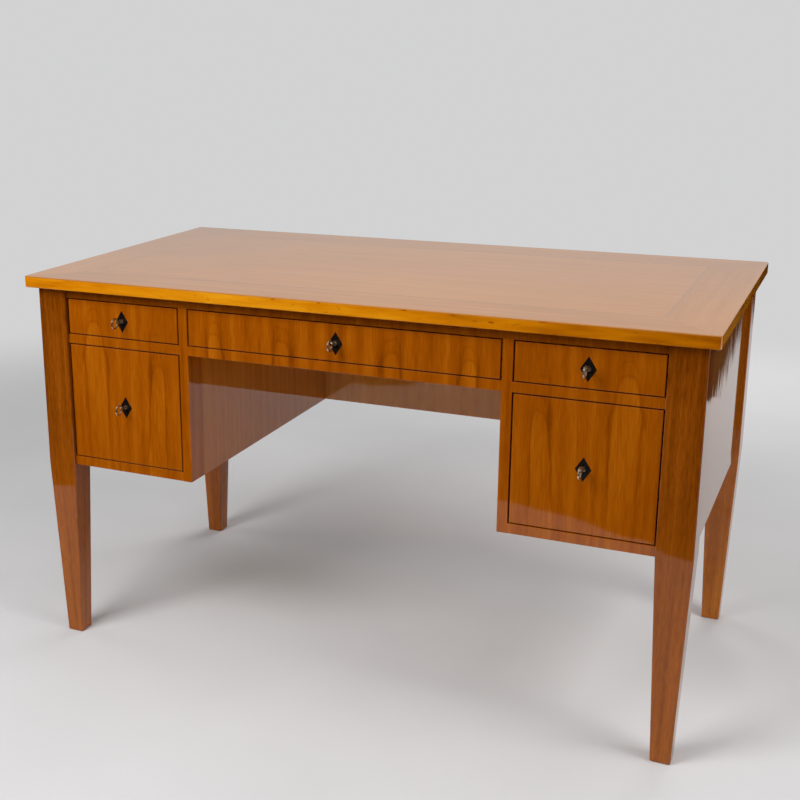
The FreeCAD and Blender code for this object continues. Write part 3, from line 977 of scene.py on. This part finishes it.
@dataclass
class Studio:
    """Paper floor, backdrop tone, softboxes, flags and camera."""

    paper_half_width_m: float = 4.5
    paper_front_m: float = -3.0
    paper_back_m: float = 5.0
    flag_height_m: float = 0.9
    flag_line_m: tuple[tuple[float, float], ...] = (
        (-2.2, -0.53), (-1.14, -0.95), (0.02, -1.45), (0.52, -1.24), (1.6, -0.8),
    )
    rear_cloth_m: tuple[tuple[float, float], ...] = (
        (0.876, 2.06), (0.93, 1.92), (1.12, 1.92), (1.3, 5.2), (0.85, 5.2), (0.924, 3.45),
    )
    rear_cloth_rise_m: float = 0.004
    backdrop: str = "#D2D2D3"
    fill: str = "#FFFFFF"
    fill_strength: float = 0.03
    lamps: tuple[Lamp, ...] = (
        Lamp("key_softbox", (-0.95, -1.9, 1.95), (-0.2, 0.0, 0.4), 1.2, 47.0),
        Lamp("right_softbox", (2.2, -0.45, 2.4), (1.9, -0.45, 0.0), 1.0, 31.0),
        Lamp("front_top_softbox", (0.0, -1.4, 2.6), (0.0, 0.0, 0.3), 1.8, 12.0),
        Lamp("rear_low_softbox", (0.5, 3.2, 1.5), (0.0, 0.0, 0.2), 2.0, 49.0),
        Lamp("rear_top_softbox", (-0.7, 1.2, 2.6), (0.0, 0.0, 0.3), 0.9, 9.0),
        Lamp("right_top_softbox", (1.3, 0.0, 2.6), (0.0, 0.0, 0.3), 1.8, 11.5),
        Lamp("left_low_softbox", (-2.6, 0.0, 1.15), (0.0, 0.0, 0.3), 0.9, 5.5),
        Lamp("right_low_softbox", (2.3, -1.3, 1.15), (0.0, 0.0, 0.3), 0.9, 6.5),
    )
    camera_place: tuple[float, float, float] = (0.871848, -2.301672, 1.219663)
    yaw_deg: float = 25.731
    pitch_deg: float = 15.366
    roll_deg: float = -0.639
    lens_mm: float = 56.208
    shift: tuple[float, float] = (0.13318, -0.02615)

    def sheet(self, name: str, corners: list[Vector], finish: bpy.types.Material) -> bpy.types.Object:
        """Make a flat sheet of the stage.

        Args:
            name: Name of the sheet.
            corners: Its corners in order.
            finish: Material of the sheet.

        Returns:
            The staged object.
        """
        mesh = bpy.data.meshes.new(name)
        shape = bmesh.new()
        shape.faces.new([shape.verts.new(corner) for corner in corners])
        shape.to_mesh(mesh)
        shape.free()
        mesh.materials.append(finish)
        sheet = bpy.data.objects.new(name, mesh)
        bpy.context.scene.collection.objects.link(sheet)
        log.info("staged %s", name)
        return sheet

    def build_floor(self) -> None:
        """Lay the paper floor."""
        half = self.paper_half_width_m
        corners = [
            Vector((-half, self.paper_front_m, 0.0)),
            Vector((half, self.paper_front_m, 0.0)),
            Vector((half, self.paper_back_m, 0.0)),
            Vector((-half, self.paper_back_m, 0.0)),
        ]
        self.sheet("paper_floor", corners, StudioPaper().build())

    def build_flags(self) -> None:
        """Stand a folded dark flag in front and lay a dark cloth behind, which only reflections see."""
        cloth = FlagCloth().build()
        laid = [Vector((x, y, self.rear_cloth_rise_m)) for x, y in self.rear_cloth_m]
        sheets = {"rear_cloth": laid}
        for index, (first, last) in enumerate(zip(self.flag_line_m, self.flag_line_m[1:])):
            feet = [Vector((x, y, 0.0)) for x, y in (first, last)]
            heads = [foot + Vector((0.0, 0.0, self.flag_height_m)) for foot in feet]
            sheets["front_flag_%d" % index] = feet + heads[::-1]
        for name, corners in sheets.items():
            flag = self.sheet(name, corners, cloth)
            flag.visible_camera = False
            flag.visible_diffuse = False
            flag.visible_shadow = False
            flag.visible_transmission = False

    def build_world(self) -> None:
        """Set the backdrop's tone, with a lower strength for the fill light that it gives."""
        world = bpy.data.worlds.new("studio")
        bpy.context.scene.world = world
        world.use_nodes = True
        tree = world.node_tree
        tree.nodes.clear()
        path = put(tree, "LightPath", {}).outputs
        seen = calc(tree, "MAXIMUM", path["Is Camera Ray"], path["Is Glossy Ray"])
        seen = calc(tree, "MAXIMUM", seen, path["Is Transmission Ray"])
        shown = put(tree, "Background", {"Color": linear(self.backdrop), "Strength": 1.0}).outputs[0]
        fill_links = {"Color": linear(self.fill), "Strength": self.fill_strength}
        fill = put(tree, "Background", fill_links).outputs[0]
        sky = put(tree, "MixShader", {0: seen, 1: fill, 2: shown}).outputs[0]
        put(tree, "OutputWorld", {"Surface": sky})

    def build_camera(self) -> None:
        """Stand the camera where the photograph was taken from."""
        yaw, pitch, roll = (math.radians(a) for a in (self.yaw_deg, self.pitch_deg, self.roll_deg))
        level = math.cos(pitch)
        ahead = Vector((-math.sin(yaw) * level, math.cos(yaw) * level, -math.sin(pitch)))
        right = Vector((math.cos(yaw), math.sin(yaw), 0.0))
        above = right.cross(ahead)
        x_axis = right * math.cos(roll) + above * math.sin(roll)
        y_axis = above * math.cos(roll) - right * math.sin(roll)
        turn = Matrix((x_axis, y_axis, -ahead)).transposed()
        lens = bpy.data.cameras.new("camera")
        lens.lens = self.lens_mm
        lens.sensor_fit = "HORIZONTAL"
        lens.shift_x, lens.shift_y = self.shift
        camera = bpy.data.objects.new("camera", lens)
        camera.matrix_world = Matrix.Translation(self.camera_place) @ turn.to_4x4()
        bpy.context.scene.collection.objects.link(camera)
        bpy.context.scene.camera = camera

    def build(self) -> None:
        """Set up the whole studio."""
        bpy.context.scene.view_settings.view_transform = "Standard"
        self.build_floor()
        self.build_flags()
        self.build_world()
        for lamp in self.lamps:
            lamp.hang()
        self.build_camera()


def main() -> None:
    """Dress the desk and set up the studio."""
    logging.basicConfig(level=logging.INFO, format="%(name)s: %(message)s")
    Studio().build()
    front = PolishedCherry(
        "cherry_front_polished", Grain.UPRIGHT, streak_weight=1.0, film=0.42, warp=9.0,
    ).build()
    Tabletop().dress()
    Carcass().dress(front)
    finishes = DrawerFinishes(
        front=front,
        oak_side=PlanedBoard("oak_side_planed", Grain.BOX, "#B98E5A", "#8E6636", line_mm=4.0).build(),
        oak_bottom=PlanedBoard(
            "oak_bottom_planed", Grain.LENGTHWISE, "#B98E5A", "#8E6636", line_mm=5.0,
        ).build(),
        pear=EbonisedPear().build(),
        brass=WornMetal("brass_cast_old", "#C9A55A", "#8A6A35", patch_mm=7.0, roughness=0.35).build(),
        bronze=WornMetal("bronze_cast_worn", "#E8D2AE", "#5A4630", patch_mm=4.0, roughness=0.3).build(),
    )
    for name in DRAWERS:
        Drawer(name).dress(finishes)


if __name__ == "__main__":
    main()
